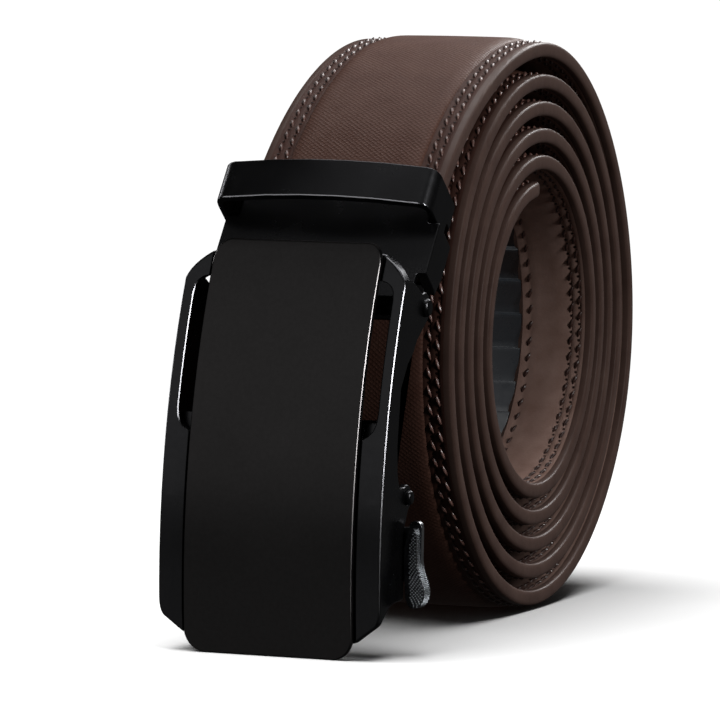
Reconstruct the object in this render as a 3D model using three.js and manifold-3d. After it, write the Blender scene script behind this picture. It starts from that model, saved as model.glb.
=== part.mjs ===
import * as THREE from 'three';
import { mergeVertices } from 'three/addons/utils/BufferGeometryUtils.js';
import Module from 'manifold-3d';

// Ratchet belt: a padded strap wound in a coil that stands on its edge, and a bowed buckle in front of it.
// Millimetres. +Z is up, +X runs across the strap, and the buckle faces -Y.
// The origin is the bottom centre of the whole belt.

// Strap section. Depths are measured inwards from the outer face of its margins.
const STRAP_WIDTH = 35;
const EDGE_THICKNESS = 2.7;
const PADDING_RISE = 0.8;
const MARGIN_WIDTH = 5;
const PADDING_SLOPE = 2.4;
const EDGE_CORNER = 0.6;
const TIP_LENGTH = 12;
const PRESSED = 0.1;

// Coil, seen from +X: it starts at the top and turns clockwise, inwards
const COIL_RADIUS = 52;
const COIL_PITCH = 4.88;
const COIL_TURNS = 5.045;
const TOP_LIFT = 0.9;
const LIFT_SPREAD = 0.9;
const BACK_SAG = 2.8;
const SAG_ANGLE = 1.72;
const SAG_SPREAD = 0.68;
const SAG_FADE = 0.28;
const STRAP_STEPS = 200;

// Toothed track let into the strap's inner face
const TRACK_WIDTH = 7;
const TRACK_LENGTH = 362;
const TRACK_SETBACK = 32;
const TOOTH_PITCH = 6.35;
const TOOTH_HEIGHT = 0.8;
const TRACK_BASE = 0.4;

// Clearances
const FIT_GAP = 0.3;
const SIDE_ROOM = 1.05;

// Buckle frame. Arcs are measured up the bowed face from the level where it stands plumb.
const WALL = 1.6;
const FACE_RADIUS = 120;
const PLATE_THICKNESS = 2.4;
const HINGE_ARC = 49.3;
const FACE_AHEAD = 10.7;
const FRAME_LOW_ARC = -12.3;
const FRAME_RISE = 5.5;
const SHOULDER_RUN = 5;
const SHOULDER_BULGE = 0.3;
const FOOT_RUN = 4.9;
const FOOT_RISE = 6.4;
const FOOT_BEVEL_IN = 1;
const FOOT_BEVEL_UP = 2.95;
const HOUSING_DEPTH = 11.5;
const HOUSING_LOW_ARC = -6.2;
const WALL_RISE = 2.4;
const EAR_RADIUS = 2.7;
const SLOT_RIM = 2.05;
const SLOT_LOW_ARC = 22.3;
const SLOT_RISE = 27.5;
const SLOT_CORNER = 3;
const CHEEK_DEPTH = 8.4;
const CHEEK_RISE = 1;

// Front panel
const PANEL_MARGIN = 4.85;
const PANEL_RISE = 0.8;
const PANEL_SEAT = 0.6;
const PANEL_LOW_ARC = -15.1;
const PANEL_TOP_RISE = 7.5;
const PANEL_CORNER = 2.6;
const PANEL_TOP_DROP = 3.4;
const PANEL_FOOT_RUN = 2.95;
const PANEL_FOOT_RISE = 3.7;

// Hinge and release lever
const HINGE_AHEAD = 16.6;
const HINGE_PIN_RADIUS = 1.1;
const BARREL_RADIUS = 2.4;
const LEVER_PIN_ARC = 13.1;
const LEVER_PIN_DEPTH = 11.9;
const LEVER_PIN_RADIUS = 0.9;
const LEVER_BARREL_RADIUS = 2;
const LEVER_BOSS_RADIUS = 2.3;
const LEVER_PLATE = 1.2;
const LEVER_DROP = 15.5;
const ARM_TOP = 5;
const ARM_LOW = 14.2;
const PAWL_WIDTH = 6;
const PAWL_REACH = 4.4;
const PIN_HEAD = 0.6;
const PIN_HEAD_SPREAD = 1.45;
const TAB_TOP = 5;
const TAB_LOW = 18.6;
const TAB_WIDTH = 3.6;
const TAB_DEPTH = 3.2;
const ARM_WIDTH = 2.3;

// Clamp and keeper, in the clamp's own frame: its z runs up along the strap from the hinge pin
const CLAMP_LEAN = 38;
const CLAMP_AHEAD = 2.8;
const CLAMP_WALL = 1.2;
const CLAMP_SIDE = 2;
const CLAMP_LOW = 5.2;
const CLAMP_TOP = 15.8;
const CLAMP_DEPTH = 7.2;
const CLAMP_LIP = 4.6;
const FLAP_THICKNESS = 2.2;
const KEEPER_LENGTH = 7.8;
const KEEPER_BAR = 1.6;
const KEEPER_SIDE = 1.15;
const KEEPER_BACK = 5.7;
const KEEPER_OPENING = 3.7;
const KEEPER_CROWN = 1.3;
const KEEPER_CORNER = 3.2;
const KEEPER_ROOM = 1.25;
const KEEPER_DRIFT = 0.9;
const LUG_LENGTH = 5;
const LUG_DEPTH = 3.8;

// Lead-out of the strap between clamp and coil: a bend at a place measured from the hinge pin
const BEND_BACK = 24;
const BEND_UP = 28.6;
const BEND_SLOPE = 38;

const wasm = await Module();
wasm.setup();

// Solids

function toSolid(geometry) {
  const bare = geometry.clone();
  bare.deleteAttribute('normal');
  bare.deleteAttribute('uv');
  const merged = mergeVertices(bare, 1e-5);
  const vertProperties = new Float32Array(merged.attributes.position.array);
  const triVerts = new Uint32Array(merged.index.array);
  return new wasm.Manifold(new wasm.Mesh({ numProp: 3, vertProperties, triVerts }));
}

function toMesh(name, solid, material) {
  const { vertProperties, triVerts } = solid.getMesh();
  const geometry = new THREE.BufferGeometry();
  geometry.setAttribute('position', new THREE.BufferAttribute(new Float32Array(vertProperties), 3));
  geometry.setIndex(new THREE.BufferAttribute(new Uint32Array(triVerts), 1));
  geometry.computeVertexNormals();
  const mesh = new THREE.Mesh(geometry, material);
  mesh.name = name;
  return mesh;
}

// An outline drawn in the side plane (y, z), spanning x0 to x1
function sideSolid(points, x0, x1) {
  const shape = new THREE.Shape(points.map(([y, z]) => new THREE.Vector2(y, z)));
  const geometry = new THREE.ExtrudeGeometry(shape, { depth: x1 - x0, bevelEnabled: false });
  const turn = new THREE.Matrix4().makeBasis(
    new THREE.Vector3(0, 1, 0), new THREE.Vector3(0, 0, 1), new THREE.Vector3(1, 0, 0));
  geometry.applyMatrix4(turn);
  geometry.translate(x0, 0, 0);
  return toSolid(geometry);
}

// An outline drawn in the front plane (x, z), spanning y0 to y1
function frontSolid(shape, y0, y1, curveSegments = 4) {
  const geometry = new THREE.ExtrudeGeometry(
    shape, { depth: y1 - y0, bevelEnabled: false, curveSegments });
  const turn = new THREE.Matrix4().makeBasis(
    new THREE.Vector3(1, 0, 0), new THREE.Vector3(0, 0, 1), new THREE.Vector3(0, -1, 0));
  geometry.applyMatrix4(turn);
  geometry.translate(0, y1, 0);
  return toSolid(geometry);
}

function boxSolid(x0, x1, y0, y1, z0, z1) {
  const geometry = new THREE.BoxGeometry(x1 - x0, y1 - y0, z1 - z0);
  geometry.translate((x0 + x1) / 2, (y0 + y1) / 2, (z0 + z1) / 2);
  return toSolid(geometry);
}

// A round rod along X
function rodSolid(radius, x0, x1, y, z, sides = 20) {
  const geometry = new THREE.CylinderGeometry(radius, radius, x1 - x0, sides);
  geometry.rotateZ(Math.PI / 2);
  geometry.translate((x0 + x1) / 2, y, z);
  return toSolid(geometry);
}

// A pin along X with low domed heads
function pinSolid(radius, halfLength, headRadius) {
  const profile = [
    [0, -halfLength - PIN_HEAD], [headRadius * 0.6, -halfLength - PIN_HEAD * 0.85],
    [headRadius, -halfLength - PIN_HEAD * 0.4], [headRadius, -halfLength], [radius, -halfLength],
    [radius, halfLength], [headRadius, halfLength], [headRadius, halfLength + PIN_HEAD * 0.4],
    [headRadius * 0.6, halfLength + PIN_HEAD * 0.85], [0, halfLength + PIN_HEAD],
  ];
  const geometry = new THREE.LatheGeometry(profile.map(([r, h]) => new THREE.Vector2(r, h)), 16);
  geometry.rotateZ(Math.PI / 2);
  return toSolid(geometry);
}

// Buckle face: a cylinder about an axis along X, in a frame whose origin is the hinge pin

const hingeAngle = HINGE_ARC / FACE_RADIUS;
const faceCentreY = (FACE_RADIUS - FACE_AHEAD) * Math.cos(hingeAngle);
const faceCentreZ = -(FACE_RADIUS - FACE_AHEAD) * Math.sin(hingeAngle);

function onFace(arc, depth) {
  const angle = arc / FACE_RADIUS;
  const reach = FACE_RADIUS - depth;
  return [faceCentreY - reach * Math.cos(angle), faceCentreZ + reach * Math.sin(angle)];
}

function faceLevel(arc) {
  return onFace(arc, 0)[1];
}

// The band of the side plane between two depths and two arcs
function faceBand(lowArc, highArc, frontDepth, backDepth, steps = 14) {
  const points = [];
  for (let i = 0; i <= steps; i += 1) {
    points.push(onFace(lowArc + (highArc - lowArc) * i / steps, backDepth));
  }
  for (let i = steps; i >= 0; i -= 1) {
    points.push(onFace(lowArc + (highArc - lowArc) * i / steps, frontDepth));
  }
  return points;
}

const hingeHeight = -faceLevel(PANEL_LOW_ARC);
const hingeY = -(COIL_RADIUS + HINGE_AHEAD);
const frameHalf = STRAP_WIDTH / 2 + SIDE_ROOM + WALL;
const wallInside = frameHalf - WALL;
const panelHalf = frameHalf - PANEL_MARGIN;
const frameHighArc = HINGE_ARC + FRAME_RISE;
const panelHighArc = HINGE_ARC + PANEL_TOP_RISE;
const shoulderArc = HINGE_ARC;
const [leverPinY, leverPinZ] = onFace(LEVER_PIN_ARC, LEVER_PIN_DEPTH);

// Strap line: the outer face of the margins, seen from the side

// The outer wraps stand off a little at the top, where they start, and more at the back
function coilRadius(angle) {
  const wrap = Math.max(0, Math.floor(angle / (2 * Math.PI)));
  const fromBack = angle - wrap * 2 * Math.PI - SAG_ANGLE;
  const lift = TOP_LIFT * Math.exp(-((angle / LIFT_SPREAD) ** 2));
  const sag = BACK_SAG * SAG_FADE ** wrap * Math.exp(-((fromBack / SAG_SPREAD) ** 2));
  return COIL_RADIUS - COIL_PITCH * angle / (2 * Math.PI) + lift + sag;
}

const coilCentreZ = PADDING_RISE + coilRadius(Math.PI);
const leanAngle = THREE.MathUtils.degToRad(CLAMP_LEAN);
const strapInClamp = -CLAMP_AHEAD + CLAMP_WALL + FIT_GAP;

function coilPoint(angle, depth) {
  const radius = coilRadius(angle) - depth;
  return [radius * Math.sin(angle), coilCentreZ + radius * Math.cos(angle)];
}

// A place in the clamp's own frame, given in the belt's frame
function fromClamp(y, z) {
  return [
    hingeY + y * Math.cos(leanAngle) + z * Math.sin(leanAngle),
    hingeHeight - y * Math.sin(leanAngle) + z * Math.cos(leanAngle),
  ];
}

const alongClamp = [Math.sin(leanAngle), Math.cos(leanAngle)];
const bendAngle = THREE.MathUtils.degToRad(BEND_SLOPE);
const alongBend = [Math.cos(bendAngle), Math.sin(bendAngle)];
const strapEnd = fromClamp(strapInClamp, CLAMP_LOW + 1);
const clampMouth = fromClamp(strapInClamp, CLAMP_TOP);
const bendPoint = [hingeY + BEND_BACK, hingeHeight + BEND_UP];
const coilTop = coilPoint(0, 0);

function curvePoint([y, z]) {
  return new THREE.Vector3(0, y, z);
}

function step([y, z], [dy, dz], length) {
  return [y + dy * length, z + dz * length];
}

function bezierBetween(start, startWay, end, endWay) {
  const third = Math.hypot(end[0] - start[0], end[1] - start[1]) / 3;
  return new THREE.CubicBezierCurve3(
    curvePoint(start), curvePoint(step(start, startWay, third)),
    curvePoint(step(end, endWay, -third)), curvePoint(end));
}

class SpiralCurve extends THREE.Curve {
  getPoint(t, target = new THREE.Vector3()) {
    const [y, z] = coilPoint(t * COIL_TURNS * 2 * Math.PI, 0);
    return target.set(0, y, z);
  }
}

function strapLine() {
  const line = new THREE.CurvePath();
  const spiral = new SpiralCurve();
  spiral.arcLengthDivisions = 2400;
  line.add(new THREE.LineCurve3(curvePoint(strapEnd), curvePoint(clampMouth)));
  line.add(bezierBetween(clampMouth, alongClamp, bendPoint, alongBend));
  line.add(bezierBetween(bendPoint, alongBend, coilTop, [1, 0]));
  line.add(spiral);
  line.arcLengthDivisions = 2400;
  return line;
}

// Strap

// Each point of the section is its place across the strap and its depth below the outer face
function strapSection() {
  const half = STRAP_WIDTH / 2;
  const paddingFoot = half - MARGIN_WIDTH;
  const right = [
    [paddingFoot - PADDING_SLOPE, -PADDING_RISE],
    [paddingFoot, 0],
    [half - EDGE_CORNER, 0],
    [half, EDGE_CORNER],
    [half, EDGE_THICKNESS - EDGE_CORNER],
    [half - EDGE_CORNER, EDGE_THICKNESS],
  ];
  const left = right.map(([across, depth]) => [-across, depth]).reverse();
  return new THREE.Shape([...right, ...left].map(([across, depth]) => new THREE.Vector2(across, -depth)));
}

// A band of the coil between two depths, over a range of angles
function coilBand(startAngle, endAngle, outerDepth, innerDepth, x) {
  const steps = Math.ceil((endAngle - startAngle) / (TOOTH_PITCH / COIL_RADIUS));
  const points = [];
  for (let i = 0; i <= steps; i += 1) {
    points.push(coilPoint(startAngle + (endAngle - startAngle) * i / steps, outerDepth));
  }
  for (let i = steps; i >= 0; i -= 1) {
    points.push(coilPoint(startAngle + (endAngle - startAngle) * i / steps, innerDepth));
  }
  return sideSolid(points, -x, x);
}

// The angle a given length of inner face back from another angle
function angleBack(angle, length) {
  const [y, z] = coilPoint(angle, EDGE_THICKNESS);
  return angle - length / Math.hypot(y, z - coilCentreZ);
}

const tipAngle = COIL_TURNS * 2 * Math.PI;
const grooveDepth = TRACK_BASE + TOOTH_HEIGHT + FIT_GAP;
const toothCount = Math.round(TRACK_LENGTH / TOOTH_PITCH);
const toothAngles = [angleBack(tipAngle, TRACK_SETBACK)];
for (let i = 0; i < toothCount; i += 1) {
  toothAngles.push(angleBack(toothAngles[i], TOOTH_PITCH));
}
const trackEndAngle = toothAngles[0];
const trackStartAngle = toothAngles[toothCount];

// What is cut off beside the rounded tip: the end of the strap outside an outline drawn from above
function tipCut() {
  const half = STRAP_WIDTH / 2;
  const [tipY, tipZ] = coilPoint(tipAngle, 0);
  const roundingY = tipY - TIP_LENGTH;
  const shape = new THREE.Shape();
  shape.moveTo(-half, roundingY - TIP_LENGTH);
  shape.lineTo(half, roundingY - TIP_LENGTH);
  shape.lineTo(half, roundingY);
  shape.absellipse(0, roundingY, half, TIP_LENGTH, 0, Math.PI, false);
  const outline = new THREE.ExtrudeGeometry(
    shape, { depth: COIL_RADIUS, bevelEnabled: false, curveSegments: 12 });
  outline.translate(0, 0, tipZ - COIL_RADIUS / 2);
  const room = (COIL_PITCH - EDGE_THICKNESS + PADDING_RISE) / 2;
  const end = coilBand(
    angleBack(tipAngle, TIP_LENGTH), angleBack(tipAngle, -EDGE_THICKNESS),
    -room, EDGE_THICKNESS + room, half + WALL);
  return end.subtract(toSolid(outline));
}

function strapSolid() {
  const swept = toSolid(new THREE.ExtrudeGeometry(
    strapSection(), { steps: STRAP_STEPS, bevelEnabled: false, extrudePath: strapLine() }));
  const groove = coilBand(
    angleBack(trackStartAngle, FIT_GAP), angleBack(trackEndAngle, -FIT_GAP),
    EDGE_THICKNESS - grooveDepth, EDGE_THICKNESS + grooveDepth / 2, TRACK_WIDTH / 2 + FIT_GAP);
  // The padding is pressed flat where the clamp and its lip lie on the strap
  const pressed = strapInClamp + PRESSED;
  const flattened = boxSolid(
    -STRAP_WIDTH, STRAP_WIDTH, pressed - PADDING_RISE * 3, pressed, 0, CLAMP_TOP + CLAMP_LIP + FIT_GAP);
  const place = new THREE.Matrix4().makeRotationX(-leanAngle).setPosition(0, hingeY, hingeHeight);
  return swept.subtract(groove).subtract(tipCut()).subtract(flattened.transform(place.elements));
}

// Toothed strip: each tooth rises slowly and drops steeply
function trackSolid() {
  const backDepth = EDGE_THICKNESS - grooveDepth + FIT_GAP;
  const valleyDepth = backDepth + TRACK_BASE;
  const crestDepth = valleyDepth + TOOTH_HEIGHT;
  const points = [];
  for (let i = 0; i < toothCount; i += 1) {
    const near = toothAngles[i];
    const span = toothAngles[i + 1] - near;
    points.push(coilPoint(near, valleyDepth));
    points.push(coilPoint(near + span * 0.25, valleyDepth));
    points.push(coilPoint(near + span * 0.85, crestDepth));
    points.push(coilPoint(near + span * 0.97, crestDepth));
  }
  for (let i = toothCount; i >= 0; i -= 1) {
    points.push(coilPoint(toothAngles[i], backDepth));
  }
  return sideSolid(points, -TRACK_WIDTH / 2, TRACK_WIDTH / 2);
}

// Clamp, in its own frame

const clampHalf = STRAP_WIDTH / 2 + FIT_GAP + CLAMP_SIDE;
const tongueHalf = wallInside - FIT_GAP - 0.2;
const clampBack = CLAMP_DEPTH - CLAMP_AHEAD;

function clampSolid() {
  const inside = CLAMP_WALL - CLAMP_AHEAD;
  const channel = sideSolid([
    [-CLAMP_AHEAD, CLAMP_TOP], [-CLAMP_AHEAD, CLAMP_LOW],
    [clampBack * 0.5, CLAMP_LOW], [clampBack * 0.75, CLAMP_LOW - CLAMP_WALL * 0.4],
    [clampBack - CLAMP_WALL * 0.6, CLAMP_LOW + CLAMP_WALL], [clampBack, CLAMP_LOW + CLAMP_WALL * 3],
    [clampBack, CLAMP_TOP],
  ], -clampHalf, clampHalf);
  const strapRoomHalf = clampHalf - CLAMP_SIDE;
  const strapRoom = boxSolid(
    -strapRoomHalf, strapRoomHalf, inside, clampBack + 1, CLAMP_LOW - CLAMP_WALL, CLAMP_TOP + 1);
  const tongue = boxSolid(-tongueHalf, tongueHalf, -CLAMP_AHEAD, inside, 0, CLAMP_LOW + CLAMP_WALL);
  const lip = boxSolid(
    -STRAP_WIDTH / 2, STRAP_WIDTH / 2, -CLAMP_AHEAD, inside, CLAMP_TOP - CLAMP_WALL, CLAMP_TOP + CLAMP_LIP);
  const barrel = rodSolid(BARREL_RADIUS, -tongueHalf, tongueHalf, 0, 0);
  const bore = rodSolid(HINGE_PIN_RADIUS + FIT_GAP, -frameHalf, frameHalf, 0, 0);
  return channel.subtract(strapRoom).add(tongue).add(lip).add(barrel).subtract(bore);
}

function flapSolid() {
  const front = strapInClamp + EDGE_THICKNESS + FIT_GAP;
  return boxSolid(
    -STRAP_WIDTH / 2, STRAP_WIDTH / 2, front, front + FLAP_THICKNESS,
    CLAMP_LOW + CLAMP_WALL / 2, CLAMP_TOP);
}

// A four-cornered loop seen along the strap, whose front side bows out by crown
function loopPath(path, half, front, back, corner, crown) {
  path.moveTo(half, back - corner);
  path.quadraticCurveTo(half, back, half - corner, back);
  path.lineTo(-half + corner, back);
  path.quadraticCurveTo(-half, back, -half, back - corner);
  path.lineTo(-half, front + corner);
  path.quadraticCurveTo(-half, front, -half + corner, front);
  path.quadraticCurveTo(0, front - 2 * crown, half - corner, front);
  path.quadraticCurveTo(half, front, half, front + corner);
  return path;
}

function keeperSolid() {
  const innerHalf = STRAP_WIDTH / 2 + KEEPER_ROOM;
  const innerBack = KEEPER_BACK - KEEPER_BAR;
  const innerFront = -CLAMP_AHEAD - KEEPER_OPENING;
  const low = CLAMP_TOP + FIT_GAP;
  const high = low + KEEPER_LENGTH;
  const shape = loopPath(new THREE.Shape(), innerHalf + KEEPER_SIDE, innerFront - KEEPER_BAR,
    innerBack + KEEPER_BAR, KEEPER_CORNER, KEEPER_CROWN);
  shape.holes.push(loopPath(new THREE.Path(), innerHalf, innerFront, innerBack,
    KEEPER_CORNER - KEEPER_BAR, KEEPER_CROWN));
  const loop = new THREE.ExtrudeGeometry(
    shape, { depth: KEEPER_LENGTH, bevelEnabled: false, curveSegments: 5 });
  loop.translate(0, 0, low);
  // At the back the loop narrows to a lug on each side and a bar between them
  const wide = innerHalf + KEEPER_BAR * 2;
  const below = boxSolid(
    -wide, wide, KEEPER_BACK - LUG_DEPTH, KEEPER_BACK + KEEPER_BAR, low - 1, high - LUG_LENGTH);
  return toSolid(loop).subtract(below);
}

// Buckle frame, in the frame of the hinge pin

// Back edge of the side wall between ear and lever boss: place along the arc as a share of HINGE_ARC,
// and depth behind the face as a share of HOUSING_DEPTH
const WALL_BACK = [
  { up: 0.856, deep: 0.82 },
  { up: 0.803, deep: 0.74 },
  { up: 0.75, deep: 0.58 },
  { up: 0.65, deep: 0.42 },
  { up: 0.45, deep: 0.5 },
  { up: 0.35, deep: 0.59 },
  { up: 0.3, deep: 0.7 },
];

function arcPoints(centre, radius, fromDegrees, toDegrees, count) {
  const points = [];
  for (let i = 0; i <= count; i += 1) {
    const angle = THREE.MathUtils.degToRad(fromDegrees + (toDegrees - fromDegrees) * i / count);
    points.push([centre[0] + radius * Math.cos(angle), centre[1] + radius * Math.sin(angle)]);
  }
  return points;
}

function wallOutline() {
  const face = [];
  const steps = 12;
  const lowArc = HOUSING_LOW_ARC - 2.4;
  const highArc = shoulderArc + WALL_RISE;
  for (let i = 0; i <= steps; i += 1) {
    face.push(onFace(lowArc + (highArc - lowArc) * i / steps, 0));
  }
  return [
    ...face,
    ...arcPoints([0, 0], EAR_RADIUS, 115, -60, 8),
    ...WALL_BACK.map(({ up, deep }) => onFace(up * HINGE_ARC, deep * HOUSING_DEPTH)),
    ...arcPoints([leverPinY, leverPinZ], LEVER_BOSS_RADIUS, 125, -70, 8),
    onFace(LEVER_PIN_ARC - LEVER_BOSS_RADIUS * 2.4, HOUSING_DEPTH),
    onFace(HOUSING_LOW_ARC, HOUSING_DEPTH),
    onFace(HOUSING_LOW_ARC, HOUSING_DEPTH * 0.6),
    onFace(HOUSING_LOW_ARC - 0.35, HOUSING_DEPTH * 0.42),
    onFace(HOUSING_LOW_ARC - 1.2, HOUSING_DEPTH * 0.29),
    onFace(HOUSING_LOW_ARC - 2.4, HOUSING_DEPTH * 0.2),
  ];
}

// The lower corners are rounded and then run in as a bevel
function frameOutline() {
  const high = faceLevel(frameHighArc);
  const low = faceLevel(FRAME_LOW_ARC);
  const shoulder = faceLevel(shoulderArc);
  const shoulderMiddle = (high + shoulder) / 2 + SHOULDER_BULGE;
  const bevelSlope = FOOT_BEVEL_UP / (FOOT_RUN - FOOT_BEVEL_IN);
  const cornerLow = low + FOOT_BEVEL_UP + FOOT_BEVEL_IN * bevelSlope;
  const shape = new THREE.Shape();
  shape.moveTo(frameHalf, low + FOOT_RISE);
  shape.lineTo(frameHalf, shoulder);
  shape.quadraticCurveTo(frameHalf - SHOULDER_RUN * 0.2, shoulderMiddle, frameHalf - SHOULDER_RUN, high);
  shape.lineTo(-frameHalf + SHOULDER_RUN, high);
  shape.quadraticCurveTo(-frameHalf + SHOULDER_RUN * 0.2, shoulderMiddle, -frameHalf, shoulder);
  shape.lineTo(-frameHalf, low + FOOT_RISE);
  shape.quadraticCurveTo(-frameHalf, cornerLow, -frameHalf + FOOT_BEVEL_IN, low + FOOT_BEVEL_UP);
  shape.lineTo(-frameHalf + FOOT_RUN, low);
  shape.lineTo(frameHalf - FOOT_RUN, low);
  shape.lineTo(frameHalf - FOOT_BEVEL_IN, low + FOOT_BEVEL_UP);
  shape.quadraticCurveTo(frameHalf, cornerLow, frameHalf, low + FOOT_RISE);
  return shape;
}

function slotOutline() {
  const outer = frameHalf - SLOT_RIM;
  const inner = panelHalf - 1;
  const low = faceLevel(SLOT_LOW_ARC);
  const high = faceLevel(SLOT_LOW_ARC + SLOT_RISE);
  const shape = new THREE.Shape();
  shape.moveTo(inner, low);
  shape.lineTo(panelHalf + 0.2, low);
  shape.quadraticCurveTo(outer, low + SLOT_CORNER * 0.3, outer, low + SLOT_CORNER * 1.4);
  shape.lineTo(outer, high - SLOT_CORNER);
  shape.quadraticCurveTo(outer, high, panelHalf + 0.1, high);
  shape.lineTo(inner, high);
  return shape;
}

function frameSolid() {
  const front = onFace(0, 0)[0] - 1;
  const pocketHalf = panelHalf + FIT_GAP;
  const pocketDepth = PANEL_SEAT + FIT_GAP;
  const outline = frontSolid(frameOutline(), front, EAR_RADIUS + 1, 7);
  const plate = sideSolid(
    faceBand(FRAME_LOW_ARC - 1, frameHighArc + 1, 0, PLATE_THICKNESS), -frameHalf, frameHalf);
  // The left wall stays deep behind its slot, so that the slot opens on the wall and not on daylight
  const cheek = sideSolid(
    faceBand(LEVER_PIN_ARC, SLOT_LOW_ARC + SLOT_RISE + CHEEK_RISE, PLATE_THICKNESS / 2, CHEEK_DEPTH),
    -frameHalf, -wallInside);
  const walls = sideSolid(wallOutline(), -frameHalf, frameHalf).add(cheek);
  const inside =boxSolid(-wallInside, wallInside, front - 1, EAR_RADIUS + 2, -hingeHeight, EAR_RADIUS * 4);
  const pocket = sideSolid(
    faceBand(PANEL_LOW_ARC, panelHighArc, -PANEL_RISE, pocketDepth), -pocketHalf, pocketHalf);
  const slot = frontSolid(slotOutline(), front, onFace(HINGE_ARC, PLATE_THICKNESS)[0] + 1);
  const roomBand = faceBand(PANEL_LOW_ARC, panelHighArc, PLATE_THICKNESS, HOUSING_DEPTH * 2);
  const behind = sideSolid(roomBand, -wallInside, wallInside);
  const slotEnd = sideSolid(
    faceBand(PANEL_LOW_ARC, panelHighArc, PLATE_THICKNESS + FIT_GAP, HOUSING_DEPTH * 2),
    -frameHalf, frameHalf);
  const slots = slot.add(slot.mirror([1, 0, 0])).subtract(slotEnd);
  const hingeBore = rodSolid(HINGE_PIN_RADIUS + FIT_GAP, -frameHalf - 1, frameHalf + 1, 0, 0);
  const leverBore = rodSolid(
    LEVER_PIN_RADIUS + FIT_GAP, -frameHalf - 1, frameHalf + 1, leverPinY, leverPinZ);
  return plate.add(walls.subtract(inside)).intersect(outline)
    .subtract(behind).subtract(pocket).subtract(slots).subtract(hingeBore).subtract(leverBore);
}

function panelOutline() {
  const high = faceLevel(panelHighArc);
  const low = -hingeHeight;
  const shape = new THREE.Shape();
  const footIn = PANEL_FOOT_RUN * 0.1;
  const footUp = PANEL_FOOT_RISE * 0.27;
  shape.moveTo(panelHalf - PANEL_FOOT_RUN, low);
  shape.quadraticCurveTo(panelHalf - footIn, low + footUp, panelHalf, low + PANEL_FOOT_RISE);
  shape.lineTo(panelHalf, high - PANEL_TOP_DROP);
  shape.quadraticCurveTo(panelHalf - 0.4, high - 0.4, panelHalf - PANEL_CORNER, high);
  shape.lineTo(-panelHalf + PANEL_CORNER, high);
  shape.quadraticCurveTo(-panelHalf + 0.4, high - 0.4, -panelHalf, high - PANEL_TOP_DROP);
  shape.lineTo(-panelHalf, low + PANEL_FOOT_RISE);
  shape.quadraticCurveTo(-panelHalf + footIn, low + footUp, -panelHalf + PANEL_FOOT_RUN, low);
  return shape;
}

function panelSolid() {
  const band = sideSolid(
    faceBand(PANEL_LOW_ARC - 1, panelHighArc + 2, -PANEL_RISE, PANEL_SEAT, 18), -panelHalf, panelHalf);
  const front = onFace(0, -PANEL_RISE)[0] - 1;
  return band.intersect(frontSolid(panelOutline(), front, 0, 6));
}

// Release lever, in the frame of its pin

// The thumb tab is narrow above and swells to the outside below
function tabOutline() {
  const inner = frameHalf + FIT_GAP + 0.1;
  const shape = new THREE.Shape();
  shape.moveTo(inner + TAB_WIDTH * 0.1, -TAB_LOW + 1.6);
  shape.quadraticCurveTo(inner - 0.05, -TAB_LOW + 5, inner, -TAB_TOP - 3.4);
  shape.quadraticCurveTo(inner + TAB_WIDTH * 0.12, -TAB_TOP - 0.3, inner + TAB_WIDTH * 0.42, -TAB_TOP);
  shape.quadraticCurveTo(inner + TAB_WIDTH * 0.66, -TAB_TOP - 0.2, inner + TAB_WIDTH * 0.62, -TAB_TOP - 3);
  shape.quadraticCurveTo(inner + TAB_WIDTH * 0.6, -TAB_TOP - 5.6, inner + TAB_WIDTH * 0.78, -TAB_LOW + 5.8);
  shape.quadraticCurveTo(inner + TAB_WIDTH * 1.1, -TAB_LOW + 3.6, inner + TAB_WIDTH, -TAB_LOW + 1.7);
  shape.quadraticCurveTo(inner + TAB_WIDTH * 0.86, -TAB_LOW, inner + TAB_WIDTH * 0.5, -TAB_LOW);
  shape.quadraticCurveTo(inner + TAB_WIDTH * 0.2, -TAB_LOW, inner + TAB_WIDTH * 0.1, -TAB_LOW + 1.6);
  return shape;
}

// A flat ear with a round top carries the tab beside the wall
function armEarOutline() {
  const inner = frameHalf + FIT_GAP * 2;
  const radius = ARM_WIDTH / 2;
  const shape = new THREE.Shape();
  shape.moveTo(inner, -ARM_LOW);
  shape.lineTo(inner + ARM_WIDTH, -ARM_LOW);
  shape.lineTo(inner + ARM_WIDTH, -TAB_TOP);
  shape.absarc(inner + radius, -TAB_TOP, radius, 0, Math.PI, false);
  return shape;
}

function leverSolid() {
  const half = wallInside - FIT_GAP;
  const face = LEVER_PLATE / 2;
  const plate = boxSolid(-half, half, -face, face, -LEVER_DROP, 0);
  const barrel = rodSolid(LEVER_BARREL_RADIUS, -half, half, 0, 0);
  const pawl = sideSolid([
    [face, -0.5], [-PAWL_REACH, -2.6], [-PAWL_REACH * 0.8, -4.6], [face, -7],
  ], -PAWL_WIDTH / 2, PAWL_WIDTH / 2);
  const arm = boxSolid(half - 1, frameHalf + FIT_GAP + 1.5, -face, face, -ARM_LOW, -ARM_TOP);
  const armEar = frontSolid(armEarOutline(), -face, face, 6);
  const tab = frontSolid(tabOutline(), face + 0.4 - TAB_DEPTH, face + 0.4, 5);
  const bore = rodSolid(LEVER_PIN_RADIUS + FIT_GAP, -frameHalf, frameHalf, 0, 0, 16);
  return plate.add(barrel).add(pawl).add(arm).add(armEar).add(tab).subtract(bore);
}

// Assembly

const leather = new THREE.MeshStandardMaterial({ color: 0x4a322a, roughness: 0.5, metalness: 0 });
const nylon = new THREE.MeshStandardMaterial({ color: 0x111216, roughness: 0.35, metalness: 0 });
const blackMetal = new THREE.MeshStandardMaterial({ color: 0x151515, roughness: 0.35, metalness: 0.8 });
const steel = new THREE.MeshStandardMaterial({ color: 0x6f7376, roughness: 0.3, metalness: 1 });

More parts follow.
